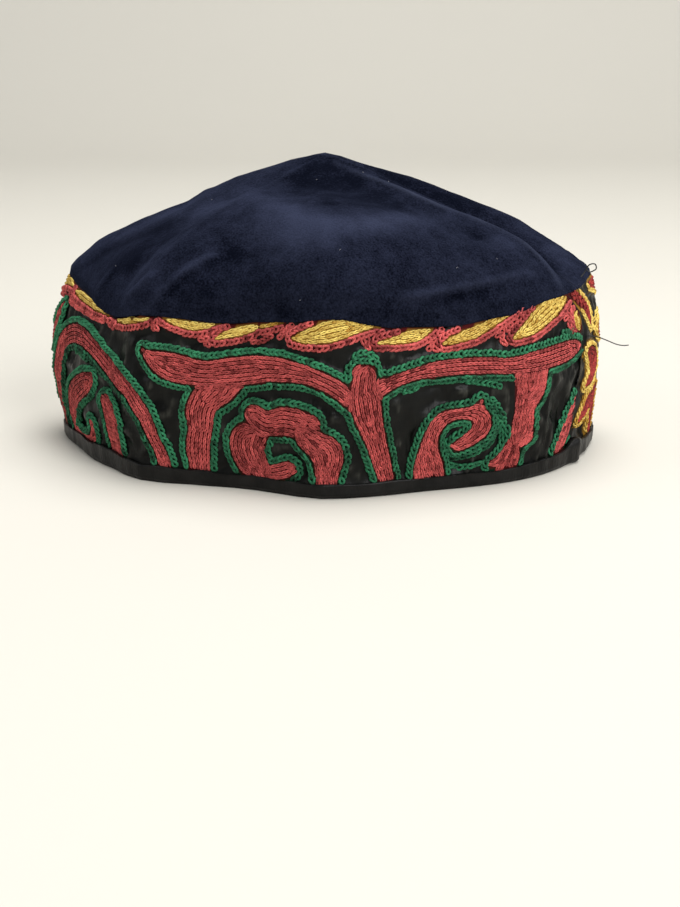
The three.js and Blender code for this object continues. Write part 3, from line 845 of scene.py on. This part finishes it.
crown = {
    "middle": (0, 0, 0.02),
    "levels": {"front": 3, "back": 2},
    "passes": 4,
    "folds": [
        ("ridge", 1.7, 0.9), ("behindRidge", 2.2, -0.9), ("wedge", 3.2, -0.8), ("terraceLip", 6.0, 0.8),
        ("hollowUpper", 9.0, -1.0), ("hollowLower", 8.0, -1.0), ("leftFlat", 13.0, -2.0),
        ("leftUpper", 10.0, 0.9), ("rightUpper", 8.0, 0.7), ("rightFlat", 11.0, -1.5),
        ("rightCorner", 9.0, -2.2), ("leftDark", 4.5, -0.7), ("pleatRight", 1.9, 1.0),
        ("pleatMiddle", 1.8, 0.8), ("pleatLeft", 1.8, 0.6), ("besidePleat", 2.2, -0.5),
        ("cornerDip", 4.0, -1.0), ("wrinkle", 1.7, 1.0), ("underWrinkle", 2.0, -0.6),
        ("smallWrinkle", 1.6, 0.4), ("backFold", 4.0, 1.2), ("backSwell", 4.0, 0.9),
        ("leftBackFold", 4.2, 1.2), ("backTerrace", 7.0, 0.9), ("backHollow", 8.0, -1.2)],
    # patches of brushed nap with painted light and shade: a tone above zero paints light, below zero paints
    # shade
    "brushedAndLit": [
        ("terraceLip", 5.5, 0.52), ("terrace", 7.0, 0.44), ("terraceArm", 6.0, 0.32),
        ("darkUpper", 7.0, -0.28), ("darkMiddle", 8.0, -0.54), ("darkLower", 8.0, -0.60),
        ("leftEdge", 4.5, 0.26), ("leftDark", 7.0, -0.32), ("leftLow", 9.0, -0.36), ("ridge", 1.3, 0.26),
        ("pleatRight", 1.5, 0.42), ("pleatMiddle", 1.5, 0.34), ("pleatLeft", 1.5, 0.28),
        ("besidePleat", 2.4, -0.18), ("frontDark", 5.0, -0.22), ("frontLow", 7.0, -0.10),
        ("cornerDip", 4.5, -0.17), ("cornerLit", 5.0, 0.22), ("wrinkle", 1.5, 0.40),
        ("underWrinkle", 2.4, -0.24), ("smallWrinkle", 1.8, 0.18), ("backDark", 10.0, -0.40),
        ("behindRidge", 2.4, -0.40), ("wedge", 3.8, -0.45), ("backLit", 6.0, 0.22),
        ("sewnEdge", 3.0, -0.10), ("backTerrace", 10.0, 0.35), ("leftBackFold", 8.0, 0.20),
        ("backFold", 6.0, 0.15)],
    "napBase": 0.25,
    "mottle": [(14, 0.06)],
    "rumple": [(26, 0.40), (10, 0.25), (4.5, 0.12)],
    "seams": (341, 161),
    "seamEdge": 1.6,
    "seamLift": 0.7,
    "heldReach": 8,
    "heldShare": 0.15,
    "tucks": [(182, 26, 1.6), (8, 22, 2.56)],
    "lipOut": 0.6,
    "lipDown": 0.3,
    "lipReach": 3.0,
    "lineEnd": {"share": 0.25, "least": 0.2},
    # painted highlight along the ridge and on the raised fold crests; the seam line takes real wear
    "ridgeHighlight": [("ridge", 1.2, 0.36)],
    "wornSeam": {"width": 1.2, "tone": 0.12},
    "foldHighlight": {"from": 0.5, "tone": 0.10},
}


def foldLift(points, folds):
    total = np.zeros(len(points))
    for name, width, lift in folds:
        line = flowLine(crownLines[name])
        here = points[:, :line.shape[1]] / mm  # a line of plan points takes no notice of height
        best = np.full(len(here), 1e9)
        along = np.zeros(len(here))
        for k, (a, b) in enumerate(zip(line[:-1], line[1:])):
            run = b - a
            t = np.clip((here - a) @ run / max(run @ run, 1e-9), 0, 1)
            gap = np.linalg.norm(here - a - t[:, None] * run, axis=1)
            along = np.where(gap < best, (k + t) / (len(line) - 1), along)
            best = np.minimum(best, gap)
        ends = np.clip(np.minimum(along, 1 - along) / crown["lineEnd"]["share"], crown["lineEnd"]["least"], 1)
        total += lift * ends * fade(best, width)
    return total


for half in ("front", "back"):
    mesh = clothCopy("crown_" + half, "velvetCrown" + half.title(), crown["levels"][half], crown["passes"])
    points = pointsOf(mesh)
    outward, outer = outwardOf(mesh, points - crown["middle"])
    bearing = bearingOf(points)
    rise = (points[:, 2] - bandTop(bearing)) / mm
    seamGap = np.min([np.abs(turnFrom(bearing, seam)) for seam in crown["seams"]], axis=0)
    seamFar = np.radians(seamGap) * np.linalg.norm(points[:, :2], axis=1) / mm
    lift = foldLift(points, crown["folds"]) + rumpled(points / mm, crown["rumple"], seeds["crown"])
    # the turned-in edges ride up beside the seam, and the sewn edge stays where the band holds it
    lift += crown["seamLift"] * fade(seamFar - crown["seamEdge"], crown["seamEdge"])
    held = np.clip(rise / crown["heldReach"], crown["heldShare"], 1)
    moved = points + outward * (lift * held * mm)[:, None]
    # at the two corners the velvet stays inside the band
    tucked = sum(tuck * fade(turnFrom(bearing, place), width) for place, width, tuck in crown["tucks"])
    lip = np.clip(1 - rise / crown["lipReach"], 0, 1) * outer * (1 - tucked)
    moved[:, :2] += planOut(points) * (lip * crown["lipOut"] * mm)[:, None]
    moved[:, 2] -= lip * crown["lipDown"] * mm
    placePoints(mesh, moved)
    # painted light and shade with the brushed nap, from the patches, plus a random mottle
    napAndShade = crown["napBase"] + foldLift(moved, crown["brushedAndLit"])
    napAndShade += rumpled(points / mm, crown["mottle"], seeds["mottle"])
    # painted highlight along the ridge and on the raised fold crests, with wear along the seam
    wornAndLit = foldLift(moved, crown["ridgeHighlight"])
    wornAndLit += crown["wornSeam"]["tone"] * fade(seamFar, crown["wornSeam"]["width"])
    wornAndLit += crown["foldHighlight"]["tone"] * np.clip(lift - crown["foldHighlight"]["from"], 0, 1)
    setAttribute(mesh, "napAndShade", np.clip(napAndShade, 0, 1))
    setAttribute(mesh, "wornAndLit", np.clip(wornAndLit, 0, 1))
    piece = addPiece("velvetCrown" + half.title(), mesh, [velvetMat, liningMat])
    lineInside(mesh, outer)
    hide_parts("crown_" + half)
print("velvet crown made")


# Embroidered band: satin strips, raised under the wool, with painted shade coloured in under it
band = {
    "levels": 3,
    "passes": 4,
    "inset": -0.9,
    "rumple": [(18, 0.45), (7, 0.2)],
    "satinWrinkle": [(11, 1.5), (5.5, 0.9), (2.6, 0.3)],
    "wrinkleBase": 0.35,
    "wrinkleStretch": (1, 1, 0.7),
    "crestHighlight": {"from": 0.30, "slope": 0.45},
    "raise": {"lift": 0.5, "reach": 2.6, "leaf": 0.8, "slope": 1.2},
    "held": {"low": 4.5, "high": 1.5, "reach": 3},
    # how far the painted shade under each wool reaches, and how dark it is
    "shadeEdge": {"leafEdge": 2.0, "leaf": 0.1, "outline": 2.2, "fill": 0.2},
    "shadeTone": 0.5,
    "turnBack": 200,
}
# height of the rim tape's top edge by bearing, taller towards the ends of the front
tapeTop = {
    "base": 5.3,
    "rise": [
        (0, 0.4), (60, 0), (120, 0), (160, 0.5), (185, 0.9), (198, 1.8), (206, 2.4), (213, 2.3), (222, 1.1),
        (236, 0.5), (256, 0.1), (300, 0.1), (322, 0.5), (333, 1.4), (337, 2.6), (341, 3.0), (346, 1.2)],
}


def tapeTopAt(bearing):
    places, rises = np.array(tapeTop["rise"], dtype=float).T
    return tapeTop["base"] + np.interp(np.asarray(bearing) % 360, places, rises, period=360)


for side, strip in strips.items():
    mesh = clothCopy(strip["node"], "satinBand" + side.title(), band["levels"], band["passes"])
    points = pointsOf(mesh)
    outward, outer = outwardOf(mesh, points * (1, 1, 0))
    bearing = bearingOf(points)
    # the back strip starts below bearing zero
    if strip["from"] < 0:
        bearing = np.where(bearing > band["turnBack"], bearing - 360, bearing)
    s = np.interp(bearing, strip["bearings"], strip["arc"])
    h = points[:, 2] / mm
    scrollGap, leafGap = [chartValue(strip[f], strip["along"], s, h) for f in ("scrollField", "leafField")]
    padAndShade = band["raise"]
    worked = np.clip((padAndShade["reach"] - np.minimum(scrollGap, leafGap - padAndShade["leaf"])) / padAndShade["slope"], 0, 1)
    crease = np.zeros(len(points))
    for size, depth in band["satinWrinkle"]:
        waves = np.abs(noiseAt(points / mm * band["wrinkleStretch"], size, seeds["crease"]))
        crease += depth * (band["wrinkleBase"] - 2 * waves)
    lift = band["inset"] + padAndShade["lift"] * worked + rumpled(points / mm, band["rumple"], seeds["band"])
    lift += (1 - worked) * crease
    # painted highlight where the satin's wrinkles rise
    crestHighlight = np.clip((crease - band["crestHighlight"]["from"]) / band["crestHighlight"]["slope"], 0, 1) * (1 - worked)
    setAttribute(mesh, "crestHighlight", crestHighlight)
    held = band["held"]
    top = bandTop(bearing) / mm
    quiet = np.clip(np.minimum(h - held["low"], top - h + held["high"]) / held["reach"], 0, 1)
    moved = points + outward * (lift * quiet * mm)[:, None]
    placePoints(mesh, swayed(moved, h))
    # painted shade under the wool: the satin there takes half the wool's dark colour, so the gaps between
    # strands read as shade
    ground = np.zeros((len(points), 4))
    edge = band["shadeEdge"]
    zones = {
        "leafEdge": leafGap < edge["leafEdge"], "leaf": leafGap < edge["leaf"],
        "outline": (scrollGap < edge["outline"]) & ~bareEdge(strip, s, h), "fill": scrollGap < edge["fill"]}
    for work, zone in zones.items():
        ground[zone, :3] = band["shadeTone"] * np.array(wools[strip["wool"][work]]["dark"])
        ground[zone, 3] = 1
    ground[~outer] = 0
    setAttribute(mesh, "padAndShade", ground, "FLOAT_COLOR")
    piece = addPiece("satinBand" + side.title(), mesh, [satinMat, liningMat])
    lineInside(mesh, outer)
    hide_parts(strip["node"])
    strip["bandTree"] = treeOf(mesh)
    print("satin band made:", side)


# Chain stitches: every link is one closed strand of wool, sizes in mm
stitch = {
    "overlap": 1.38,
    "sink": 0.10,
    "sides": 4,
    "taper": {"mean": 0.86, "swing": 0.40},
    "arch": 0.7,
    "narrow": 1.8,
    "plyStep": (0.6, 0.5),
    "shade": 0.68,
    "darkest": 0.08,
    # painted shade at the two ends of each link
    "diveShade": {"start": 0.36, "end": 0.12},
    "stray": {
        "turn": 0.09, "across": 0.10, "out": 0.06, "length": 0.06, "width": 0.07, "shade": 0.17, "row": 0.12},
    "shortRun": 0.55,
    "shortRow": 1.4,
    "lookAhead": 0.6,
    "roundEnd": 1.3,
    "roundSteps": (0.3, 0.6, 0.82),
    "bare": {"depth": 0.45, "near": 3, "end": 0.35, "side": 0.12},
    "fill": {
        "pitch": 1.95, "width": 1.30, "rowPitch": 1.40, "strand": 0.28, "points": 8, "lean": 0, "loose": 0.3},
    "outline": {"pitch": 1.8, "width": 2.65, "strand": 0.50, "points": 9, "lean": 0.30, "loose": 1.2},
    "leaf": {
        "pitch": 1.9, "width": 1.30, "rowPitch": 1.38, "strand": 0.28, "points": 8, "lean": 0, "loose": 0.5},
    "leafEdge": {"pitch": 1.8, "width": 2.55, "strand": 0.48, "points": 9, "lean": 0.15, "loose": 0.8},
}
edgeRows = {"outline": 1.35, "leafEdge": 1.25, "leafTail": 3.4, "leafGap": 8.5}
# how far new rows keep from what is worked already
clearOf = {
    "stroke": 0.7, "leafToScroll": 2.4, "edgeToScroll": 2.9, "rowToScroll": 2.2, "rowToLeaf": 1.6,
    "joinToLeaf": 0.6, "seam": 0.9, "velvet": 0.05}
tailSide = {"up": 0.6, "east": -0.8, "least": 0.3}  # a leaf's second row is worked on its upper left


def strandMesh(name, spots, frames, lengths, widths, shades, n, strand):
    sides = stitch["sides"]
    count = len(spots)
    turns = np.arange(n) / n * 2 * math.pi
    taper = stitch["taper"]["mean"] + stitch["taper"]["swing"] * np.cos(turns)
    centre = np.empty((count, n, 3))
    centre[:, :, 0] = 0.5 * np.cos(turns) * lengths[:, None]
    centre[:, :, 1] = 0.5 * np.sin(turns) * taper * (widths - stitch["narrow"] * strand)[:, None]
    centre[:, :, 2] = -stitch["arch"] * strand * np.cos(turns) + strand - stitch["sink"]
    ahead = unit(np.roll(centre, -1, 1) - np.roll(centre, 1, 1))
    sideways = unit(np.cross(ahead, (0, 0, 1)))
    lift = np.cross(sideways, ahead)
    ring = np.arange(sides) / sides * 2 * math.pi
    local = centre[:, :, None, :] + strand * (
        np.cos(ring)[None, None, :, None] * sideways[:, :, None, :]
        + np.sin(ring)[None, None, :, None] * lift[:, :, None, :])
    local = local.reshape(count, n * sides, 3)
    world = spots[:, None, :] + np.einsum("nkj,nji->nki", local, frames)
    i, j = [k.ravel() for k in np.meshgrid(np.arange(n), np.arange(sides), indexing="ij")]
    i2 = (i + 1) % n
    j2 = (j + 1) % sides
    quads = np.column_stack([i * sides + j, i2 * sides + j, i2 * sides + j2, i * sides + j2])
    places = ((i, j), (i + 1, j), (i + 1, j + 1), (i, j + 1))
    uv = np.stack([np.column_stack(place) for place in places], axis=1) * stitch["plyStep"]
    allQuads = (quads[None] + (np.arange(count) * n * sides)[:, None, None]).reshape(-1, 4)
    mesh = bpy.data.meshes.new(name)
    mesh.vertices.add(count * n * sides)
    mesh.loops.add(allQuads.size)
    mesh.polygons.add(len(allQuads))
    mesh.vertices.foreach_set("co", (world * mm).ravel())
    mesh.loops.foreach_set("vertex_index", allQuads.ravel().astype(np.int32))
    mesh.polygons.foreach_set("loop_start", np.arange(0, allQuads.size, 4, dtype=np.int32))
    layer = mesh.uv_layers.new(name="strand")
    layer.data.foreach_set("uv", np.tile(uv.reshape(-1), count).astype(np.float32))
    mesh.update(calc_edges=True)
    mesh.validate()
    # painted shade: a strand is darker where it dives into the cloth
    diveShade = stitch["diveShade"]["start"] * ((1 - np.cos(turns)) / 2) ** 3
    diveShade += stitch["diveShade"]["end"] * ((1 + np.cos(turns)) / 2) ** 4
    setAttribute(mesh, "shade", np.clip(shades[:, None] - np.repeat(diveShade, sides)[None, :], 0, 1))
    return mesh


# places on a strip: a grid of points on the satin, one every mm along and up
gridRows = np.arange(2.0, 64.0, 1.0)
underEdge = 0.6  # rows above the band's edge take their place from this far below it


def layGrid(strip):
    stops = np.arange(strip["arc"][0], strip["arc"][-1], 1.0)
    bearings = np.interp(stops, strip["arc"], strip["bearings"])
    tops = bandTop(bearings) / mm
    points = np.full((len(gridRows), len(stops), 3), np.nan)
    for c, b in enumerate(bearings):
        for r, h in enumerate(gridRows):
            level = min(h, tops[c] - underEdge)
            spot = outerHit(strip["bandTree"], b + seamTurn(b, level), level * mm)
            if spot:
                points[r, c] = (spot.x / mm, spot.y / mm, h)
    for r in range(len(gridRows)):
        lost = np.isnan(points[r, :, 0])
        for axis in range(3):
            points[r, lost, axis] = np.interp(stops[lost], stops[~lost], points[r, ~lost, axis])
    up, east = np.gradient(points, axis=(0, 1))
    return {"stops": stops, "points": points, "tops": tops, "east": east, "up": up}


def clippedRuns(line, keep):
    runs = []
    begin = None
    for k, good in enumerate(list(keep) + [False]):
        if good and begin is None:
            begin = k
        if not good and begin is not None:
            if k - begin > 1:
                runs.append(line[begin:k])
            begin = None
    return runs


# rows laid side by side along one stroke, as many as its width takes, round ends filled too
def rowsAlong(line, rowPitch):
    for end, nextOne in ((0, 1), (-1, -2)):
        w = line[end, 2]
        if w > stitch["roundEnd"]:
            out = unit(line[end, :2] - line[nextOne, :2])
            cap = []
            for e in stitch["roundSteps"]:
                cap.append(np.append(line[end, :2] + out * w * e, w * math.sqrt(1 - e * e)))
            line = np.vstack([cap[::-1], line]) if end == 0 else np.vstack([line, cap])
    place = line[:, :2]
    w = line[:, 2]
    ahead = unit(np.gradient(place, axis=0))
    side = np.column_stack([-ahead[:, 1], ahead[:, 0]])
    count = np.maximum(1, np.round(2 * w / rowPitch)).astype(int)
    rows = [(place, count % 2 == 1)]
    for j in range(count.max() // 2):
        off = (w - (j + 0.5) * 2 * w / count)[:, None]
        rows.append((place + side * off, count // 2 > j))
        rows.append((place - side * off, count // 2 > j))
    return rows


# links along runs: place, direction, length and tone of each
def linksAlong(runs, pitch):
    links = []
    look = stitch["lookAhead"]
    for run in runs:
        step = np.linalg.norm(np.diff(run, axis=0), axis=1)
        far = np.concatenate([[0], np.cumsum(step)])
        if far[-1] < stitch["shortRun"] * pitch:
            continue
        count = max(1, int(round(far[-1] / pitch)))
        at = (np.arange(count) + 0.5) * far[-1] / count
        back = np.clip(at - look, 0, far[-1])
        on = np.clip(at + look, 0, far[-1])
        s, h = [np.interp(at, far, run[:, k]) for k in (0, 1)]
        ds, dh = [np.interp(on, far, run[:, k]) - np.interp(back, far, run[:, k]) for k in (0, 1)]
        tone = np.full(count, dice.normal(0, stitch["stray"]["row"]))
        links.append(np.column_stack([s, h, ds, dh, np.full(count, far[-1] / count), tone]))
    return np.vstack(links)


# links set singly wherever a worked shape still shows bare cloth
def gapLinks(links, field, along, allowed, sizes):
    limits = stitch["bare"]
    across, up = np.meshgrid(along, chartHeights)
    bare = (field < -limits["depth"]) & allowed

    def cover(s, h, ds, dh, pitch):
        cols = np.nonzero(np.abs(along - s) < limits["near"])[0]
        rows = np.nonzero(np.abs(chartHeights - h) < limits["near"])[0]
        if not len(cols) or not len(rows):
            return
        patch = np.ix_(rows, cols)
        size = math.hypot(ds, dh) + 1e-9
        u = ((across[patch] - s) * ds + (up[patch] - h) * dh) / size
        v = ((up[patch] - h) * ds - (across[patch] - s) * dh) / size
        inLength = np.abs(u) < 0.5 * pitch + limits["end"]
        bare[patch] &= ~(inLength & (np.abs(v) < 0.5 * sizes["width"] + limits["side"]))

    for link in links:
        cover(*link[:5])
    added = []
    spots = np.argwhere(bare)
    spots = spots[np.argsort(field[bare], kind="stable")]
    for r, c in spots:
        if not bare[r, c]:
            continue
        s = along[c]
        h = chartHeights[r]
        near = np.argmin((links[:, 0] - s) ** 2 + (links[:, 1] - h) ** 2)
        link = [s, h, links[near, 2], links[near, 3], sizes["pitch"], links[near, 5]]
        cover(*link[:5])
        added.append(link)
    return np.vstack([links, added]) if added else links


def sewLinks(name, grid, links, kind, woolName, scale):
    s, h, ds, dh, pitch, tone = links.T
    count = len(links)
    sizes = stitch[kind]
    stray = stitch["stray"]
    loose = sizes["loose"]
    col = s - grid["stops"][0]
    row = h - gridRows[0]
    eastward, upward, spots = [blended(grid[key], col, row) for key in ("east", "up", "points")]
    out = unit(np.cross(eastward, upward))
    ahead = unit(ds[:, None] * eastward + dh[:, None] * upward)
    turn = dice.normal(sizes["lean"], stray["turn"] * loose, count)[:, None]
    ahead = ahead * np.cos(turn) + np.cross(out, ahead) * np.sin(turn)
    across = np.cross(out, ahead)
    spots = spots + across * dice.normal(0, stray["across"] * loose, count)[:, None]
    spots = spots + out * dice.normal(0, stray["out"] * loose, count)[:, None]
    frames = np.stack([ahead, across, out], axis=1)
    lengths = pitch * stitch["overlap"] * dice.normal(1, stray["length"], count)
    widths = sizes["width"] * scale * dice.normal(1, stray["width"], count)
    shades = np.clip(stitch["shade"] + tone + dice.normal(0, stray["shade"], count), stitch["darkest"], 1)
    mesh = strandMesh(name, spots, frames, lengths, widths, shades, sizes["points"], sizes["strand"] * scale)
    addPiece(name, mesh, [wools[woolName]["material"]])
    return count


for side, strip in strips.items():
    grid = layGrid(strip)
    along = strip["along"]
    across, up = np.meshgrid(along, chartHeights)
    ends = (strip["arc"][0] + clearOf["seam"], strip["arc"][-1] - clearOf["seam"])
    scrollField = strip["scrollField"]
    leafField = strip["leafField"]
    leafUp, leafEast = np.gradient(leafField, chartStep)
    rowsOf = {kind: distance * strip["edging"] for kind, distance in edgeRows.items()}

    def fieldAt(field, line):
        return chartValue(field, along, *line.T)

    # where the satin is free for a row of this width, between the tape, the velvet and the seams
    def allowedAt(s, h, width=stitch["fill"]["width"]):
        top = np.interp(s, grid["stops"], grid["tops"]) - clearOf["velvet"] - 0.5 * width
        low = tapeTopAt(np.interp(s, strip["arc"], strip["bearings"]))
        return (h > low) & (h < top) & (s > ends[0]) & (s < ends[1])

    def workStrokes(lines, field, sizes, blocked=None):
        done = strokeField([], along)
        runs = []
        for line in lines.values():
            for row, have in rowsAlong(line, sizes["rowPitch"]):
                keep = have & allowedAt(*row.T) & (fieldAt(done, row) > clearOf["stroke"])
                if blocked is not None:
                    keep &= fieldAt(blocked, row) > clearOf["leafToScroll"]
                runs += clippedRuns(row, keep)
            addStroke(done, line, along)
        links = linksAlong(runs, sizes["pitch"])
        return gapLinks(links, field, along, allowedAt(across, up), sizes)

    def workEdges(field, level, sizes, blocked=None):
        runs = []
        for line in chartLines(field, along, level):
            keep = allowedAt(*line.T, sizes["width"])
            if blocked is not None:
                keep &= fieldAt(blocked, line) > clearOf["edgeToScroll"]
            runs += clippedRuns(line, keep)
        return linksAlong(runs, sizes["pitch"])

    # single rows, kept clear of the worked shapes
    def workRows(lines, sizes, behindLeaf=False):
        runs = []
        for line in lines:
            keep = allowedAt(*line.T, sizes["width"]) & (fieldAt(scrollField, line) > clearOf["rowToScroll"])
            keep &= fieldAt(leafField, line) > clearOf["rowToLeaf"]
            if behindLeaf:
                east = fieldAt(leafEast, line) * strip["flip"]
                lean = tailSide["up"] * fieldAt(leafUp, line) + tailSide["east"] * east
                keep &= lean > tailSide["least"]
            shortest = stitch["shortRow"] * sizes["pitch"]
            runs += [run for run in clippedRuns(line, keep) if np.ptp(run, axis=0).max() > shortest]
        return linksAlong(runs, sizes["pitch"])

    fill = workStrokes(strip["scrollLines"], scrollField, stitch["fill"])
    outline = workEdges(scrollField, rowsOf["outline"], stitch["outline"])
    outline = outline[~bareEdge(strip, outline[:, 0], outline[:, 1])]
    leaf = workStrokes(strip["leafLines"], leafField, stitch["leaf"], scrollField)
    leafEdge = workEdges(leafField, rowsOf["leafEdge"], stitch["leafEdge"], scrollField)
    tails = workRows(chartLines(leafField, along, rowsOf["leafTail"]), stitch["leafEdge"], True)
    corners = workRows([onStrip(strip, row) for row in leafRows.values()], stitch["leafEdge"])
    fillers = workRows([onStrip(strip, row) for row in fillerRows.values()], stitch["outline"])
    leafEdge = np.vstack([leafEdge, tails, corners])
    outline = np.vstack([outline, fillers])
    # neighbouring leaves are joined by a filling of their edge wool
    alone = np.sort([strokeField([line], along) for line in strip["leafLines"].values()], axis=0)
    joined = (alone[0] + alone[1] < rowsOf["leafGap"]) & (alone[0] > clearOf["joinToLeaf"])
    joined &= scrollField > clearOf["edgeToScroll"]
    allowed = allowedAt(across, up, stitch["leafEdge"]["width"])
    leafEdge = gapLinks(leafEdge, np.where(joined, -alone[0], 1.0), along, allowed, stitch["leafEdge"])
    works = [
        ("scrollFill", fill, "fill", 1.0), ("scrollOutline", outline, "outline", strip["edging"]),
        ("leafFill", leaf, "leaf", 1.0), ("leafEdge", leafEdge, "leafEdge", strip["edging"])]
    made = []
    for name, links, kind, scale in works:
        made.append(sewLinks(name + side.title(), grid, links, kind, strip["wool"][kind], scale))
    print("wool worked:", side, made, "links")


# Rim binding: a puckered tape folded round the edge, thicker where its ends lap
binding = {
    "levels": 3, "passes": 2, "pucker": [(3.2, 0.30), (6, 0.40), (14, 0.40)], "puckerStretch": (1, 1, 0.4),
    "sway": [(11, 0.6)], "flare": 0.25, "lap": 339.0, "lapWidth": 2.6, "lapLift": 1.9, "foot": 1.5,
    "raiseFrom": 2, "raiseReach": 3}
mesh = clothCopy("rim_binding", "rimTape", binding["levels"], binding["passes"])
points = pointsOf(mesh)
outward = pointsOf(mesh, "normal")
bearing = bearingOf(points)
lift = rumpled(points / mm * binding["puckerStretch"], binding["pucker"], seeds["pucker"])
lift += binding["lapLift"] * fade(turnFrom(bearing, binding["lap"]), binding["lapWidth"])
above = np.clip(points[:, 2] / mm / binding["foot"], 0, 1)
moved = points + outward * (lift * above * mm)[:, None]
high = np.clip((points[:, 2] / mm - binding["raiseFrom"]) / binding["raiseReach"], 0, 1)
taller = tapeTopAt(bearing) - tapeTop["base"]
wander = rumpled(points / mm * (1, 1, 0), binding["sway"], seeds["sway"])
moved[:, 2] += high * (taller + wander) * mm
moved[:, :2] += planOut(points) * (high * binding["flare"] * taller * mm)[:, None]
placePoints(mesh, moved)
piece = addPiece("rimTape", mesh, [tapeMat])
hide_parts("rim_binding")
print("rim tape made")


# Loose threads at the right-hand end and flecks of lint on the velvet, points in mm
threads = {
    "cornerLoop": {
        "radius": 0.24, "points": [
            (91.5, -21, 64.5), (93.3, -20, 66.6), (95, -20, 69.5), (97.1, -20, 69.9), (97.6, -20, 68.1),
            (95.4, -20, 67), (94, -20, 68.1)]},
    "sideThread": {
        "radius": 0.21, "points": [
            (92, -25, 44), (95.4, -23, 44.2), (98.7, -24, 44), (101.3, -26, 43.4), (104.8, -27, 42.1),
            (107.4, -27, 41.6), (109.5, -26, 41.5)]},
}
threadLook = {"colour": (0.006, 0.0055, 0.0055), "roughness": 0.6}
lint = {
    "colour": (0.20, 0.20, 0.22),
    "roughness": 0.9,
    "radius": 0.08,
    "length": 0.9,
    "share": (0.5, 1.0),
    "rest": 0.1,
    "bow": 0.15,
    "places": [
        (-40.2, -13.9, 92), (14, -9.7, 101.1), (-2.6, -15.4, 99.6), (-73.6, -28.3, 70.6), (22.9, -13.5, 98),
        (59.3, -48.4, 76.5), (45, -58.8, 75.3), (-7.5, -74.8, 67.4), (5.7, -67.1, 82.7)],
}


def addTube(bm, line, radius, sides=5):
    rings = []
    for k, spot in enumerate(line):
        ahead = Vector(line[min(k + 1, len(line) - 1)]) - Vector(line[max(k - 1, 0)])
        ahead.normalize()
        across = ahead.orthogonal().normalized()
        over = ahead.cross(across)
        ring = []
        for j in range(sides):
            turn = 2 * math.pi * j / sides
            out = across * math.cos(turn) + over * math.sin(turn)
            ring.append(bm.verts.new((Vector(spot) + out * radius) * mm))
        rings.append(ring)
    for a, b in zip(rings[:-1], rings[1:]):
        near = min(range(sides), key=lambda j: (b[j].co - a[0].co).length)
        b[:] = b[near:] + b[:near]
        for j in range(sides):
            bm.faces.new((a[j], a[(j + 1) % sides], b[(j + 1) % sides], b[j]))
    bm.faces.new(rings[0][::-1])
    bm.faces.new(rings[-1])


def tubePiece(name, lines, radius, material):
    bm = bmesh.new()
    for line in lines:
        addTube(bm, line, radius)
    bmesh.ops.recalc_face_normals(bm, faces=bm.faces)
    addPiece(name, meshFrom(bm, name), [material])


threadMat, tree, shader = newMaterial("blackThread")
setSockets(tree, shader, {"Base Color": threadLook["colour"], "Roughness": threadLook["roughness"]})
lintMat, tree, shader = newMaterial("paleLint")
setSockets(tree, shader, {"Base Color": lint["colour"], "Roughness": lint["roughness"]})
for threadName, thread in threads.items():
    tubePiece(threadName, [flowLine(thread["points"])], thread["radius"], threadMat)
velvetTree = treeOf(bpy.data.objects["velvetCrownFront"].data)
flecks = []
for place in lint["places"]:
    spot, out = velvetTree.find_nearest(Vector(place) * mm)[:2]
    lie = out.orthogonal().normalized()
    lie.rotate(Quaternion(out, dice.uniform(0, math.pi)))
    middle = spot / mm + out * lint["rest"]
    half = 0.5 * lint["length"] * dice.uniform(*lint["share"])
    flecks.append([tuple(middle - lie * half), tuple(middle + out * lint["bow"]), tuple(middle + lie * half)])
tubePiece("lint", flecks, lint["radius"], lintMat)
print("threads and lint made")
